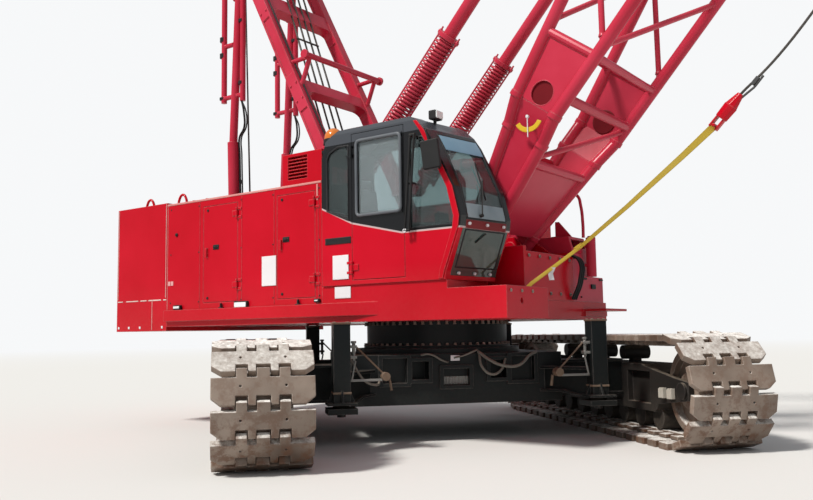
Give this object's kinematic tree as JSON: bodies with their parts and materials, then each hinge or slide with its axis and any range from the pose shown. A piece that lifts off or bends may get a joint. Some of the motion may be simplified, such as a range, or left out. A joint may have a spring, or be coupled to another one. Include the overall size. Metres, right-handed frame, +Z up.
{
  "type": "crawler crane",
  "caption": "Lattice boom crawler crane: red upper works with cab, winches, gantry and counterweight swing on a dark undercarriage with shoe tracks; a plated boom butt rises on stay ropes.",
  "frame": {"origin": "On the ground under the slewing axis.", "axes": "+X forward along the boom at rest, +Y to the machine's left, +Z up. The undercarriage stands turned by 42.2 degrees to the right under the upper works."},
  "size_m": [14.8161, 8.1212, 14.8508],
  "materials": {
    "red_paint": "weathered semi-gloss",
    "steel_dark": "dusty matte",
    "steel_grey": "worn",
    "shoe_steel": "worn and rusty",
    "glass": "clear"
  },
  "bodies": {
    "undercarriage": {"carbody": "steel_dark", "crawler_frame_right": "steel_grey", "crawler_frame_left": "steel_grey", "track_right": "shoe_steel", "track_left": "shoe_steel", "idlers": "steel_grey", "sprockets": "steel_grey"},
    "jack_front_right": {"jack_foot_1": "steel_grey"},
    "jack_front_left": {"jack_foot_2": "steel_grey"},
    "jack_rear_right": {"jack_foot_3": "steel_grey"},
    "jack_rear_left": {"jack_foot_4": "steel_grey"},
    "upper": {"deck": "red_paint", "slew_ring": "steel_dark", "girders": "red_paint", "counterweight_lower": "red_paint", "counterweight_upper": "red_paint", "house_right": "red_paint", "house_left": "red_paint", "engine": "steel_dark", "front_boxes": "red_paint", "cab_shell": "red_paint", "cab_glass": "glass", "cab_interior": "steel_dark", "gantry_front": "red_paint", "gantry_rear": "red_paint"},
    "door_right_front": {"door_right_front": "red_paint"},
    "door_right_rear": {"door_right_rear": "red_paint"},
    "door_left_front": {"door_left_front": "red_paint"},
    "door_left_rear": {"door_left_rear": "red_paint"},
    "cab_door": {"cab_door": "red_paint", "cab_door_glass": "glass"},
    "peak_sheaves": {"peak_sheaves": "steel_grey"},
    "rope_guard": {"rope_guard": "red_paint"},
    "drum_main": {"drum_main": "steel_dark"},
    "drum_aux": {"drum_aux": "steel_dark"},
    "drum_boom": {"drum_boom": "steel_dark"},
    "boom": {"boom_butt": "red_paint", "boom_top": "red_paint", "boom_head": "red_paint"},
    "tip_sheaves": {"tip_sheaves": "steel_grey"},
    "backstop_cage_right": {"backstop_cage_right": "red_paint"},
    "backstop_cage_left": {"backstop_cage_left": "red_paint"},
    "backstop_tube_right": {"backstop_tube_right": "red_paint"},
    "backstop_tube_left": {"backstop_tube_left": "red_paint"},
    "stays": {"bridle": "red_paint", "stay_ropes": "steel_grey"}
  },
  "joints": [
    {"name": "swing", "type": "hinge", "parent": "undercarriage", "child": "upper", "pos_m": [0, 0, 1.2], "axis": [0, 0, 1], "continuous": true},
    {"name": "boom_hoist", "type": "hinge", "parent": "upper", "child": "boom", "pos_m": [0.9, 0, 2.3], "axis": [0, -1, 0], "range_deg": [-23.5, 26.5]},
    {"name": "stay_swing", "type": "hinge", "parent": "upper", "child": "rope_guard", "pos_m": [-3.042, 0, 7.2], "axis": [0, -1, 0], "range_deg": [-22.82, 25.67]},
    {"name": "stay_slide", "type": "slide", "parent": "rope_guard", "child": "stays", "axis": [0.8549, 0, 0.5188], "range_m": [-2.835, 2.516]},
    {"name": "backstop_swing_right", "type": "hinge", "parent": "upper", "child": "backstop_cage_right", "pos_m": [-0.7, -0.66, 3.265], "axis": [0, -1, 0], "range_deg": [-23.13, 26.02]},
    {"name": "backstop_slide_right", "type": "slide", "parent": "backstop_cage_right", "child": "backstop_tube_right", "axis": [0.6753, 0, 0.7375], "range_m": [-0.847, 0.754]},
    {"name": "backstop_swing_left", "type": "hinge", "parent": "upper", "child": "backstop_cage_left", "pos_m": [-0.7, 0.66, 3.265], "axis": [0, -1, 0], "range_deg": [-23.13, 26.02]},
    {"name": "backstop_slide_left", "type": "slide", "parent": "backstop_cage_left", "child": "backstop_tube_left", "axis": [0.6753, 0, 0.7375], "range_m": [-0.847, 0.754]},
    {"name": "cab_door_hinge", "type": "hinge", "parent": "upper", "child": "cab_door", "pos_m": [-0.034, -1.636, 2.6], "axis": [0, 0, -1], "range_deg": [0, 85]},
    {"name": "door_right_front_hinge", "type": "hinge", "parent": "upper", "child": "door_right_front", "pos_m": [-0.63, -1.616, 2.3], "axis": [0, 0, 1], "range_deg": [0, 100]},
    {"name": "door_right_rear_hinge", "type": "hinge", "parent": "upper", "child": "door_right_rear", "pos_m": [-1.97, -1.616, 2.3], "axis": [0, 0, 1], "range_deg": [0, 100]},
    {"name": "door_left_front_hinge", "type": "hinge", "parent": "upper", "child": "door_left_front", "pos_m": [-0.63, 1.616, 2.3], "axis": [0, 0, -1], "range_deg": [0, 100]},
    {"name": "door_left_rear_hinge", "type": "hinge", "parent": "upper", "child": "door_left_rear", "pos_m": [-1.97, 1.616, 2.3], "axis": [0, 0, -1], "range_deg": [0, 100]},
    {"name": "drum_main_spin", "type": "hinge", "parent": "upper", "child": "drum_main", "pos_m": [-0.35, 0, 2], "axis": [0, 1, 0], "continuous": true},
    {"name": "drum_aux_spin", "type": "hinge", "parent": "upper", "child": "drum_aux", "pos_m": [-1.25, 0, 2], "axis": [0, 1, 0], "continuous": true},
    {"name": "drum_boom_spin", "type": "hinge", "parent": "upper", "child": "drum_boom", "pos_m": [-2.15, 0, 1.96], "axis": [0, 1, 0], "continuous": true},
    {"name": "peak_sheave_spin", "type": "hinge", "parent": "upper", "child": "peak_sheaves", "pos_m": [-3.042, 0, 7.2], "axis": [0, 1, 0], "continuous": true},
    {"name": "tip_sheave_spin", "type": "hinge", "parent": "boom", "child": "tip_sheaves", "pos_m": [9.9651, 0, 14.55078], "axis": [0, 1, 0], "continuous": true},
    {"name": "jack_front_right_slide", "type": "slide", "parent": "undercarriage", "child": "jack_front_right", "axis": [0, 0, -1], "range_m": [0, 0.36]},
    {"name": "jack_front_left_slide", "type": "slide", "parent": "undercarriage", "child": "jack_front_left", "axis": [0, 0, -1], "range_m": [0, 0.36]},
    {"name": "jack_rear_right_slide", "type": "slide", "parent": "undercarriage", "child": "jack_rear_right", "axis": [0, 0, -1], "range_m": [0, 0.36]},
    {"name": "jack_rear_left_slide", "type": "slide", "parent": "undercarriage", "child": "jack_rear_left", "axis": [0, 0, -1], "range_m": [0, 0.36]}
  ],
  "couplings": [
    {"joint": "stay_swing", "follows": "boom_hoist", "ratio": 0.95},
    {"joint": "stay_slide", "follows": "boom_hoist", "m_per_rad": -6.086},
    {"joint": "backstop_swing_right", "follows": "boom_hoist", "ratio": 0.963},
    {"joint": "backstop_slide_right", "follows": "boom_hoist", "m_per_rad": -1.789},
    {"joint": "backstop_swing_left", "follows": "boom_hoist", "ratio": 0.963},
    {"joint": "backstop_slide_left", "follows": "boom_hoist", "m_per_rad": -1.789}
  ]
}
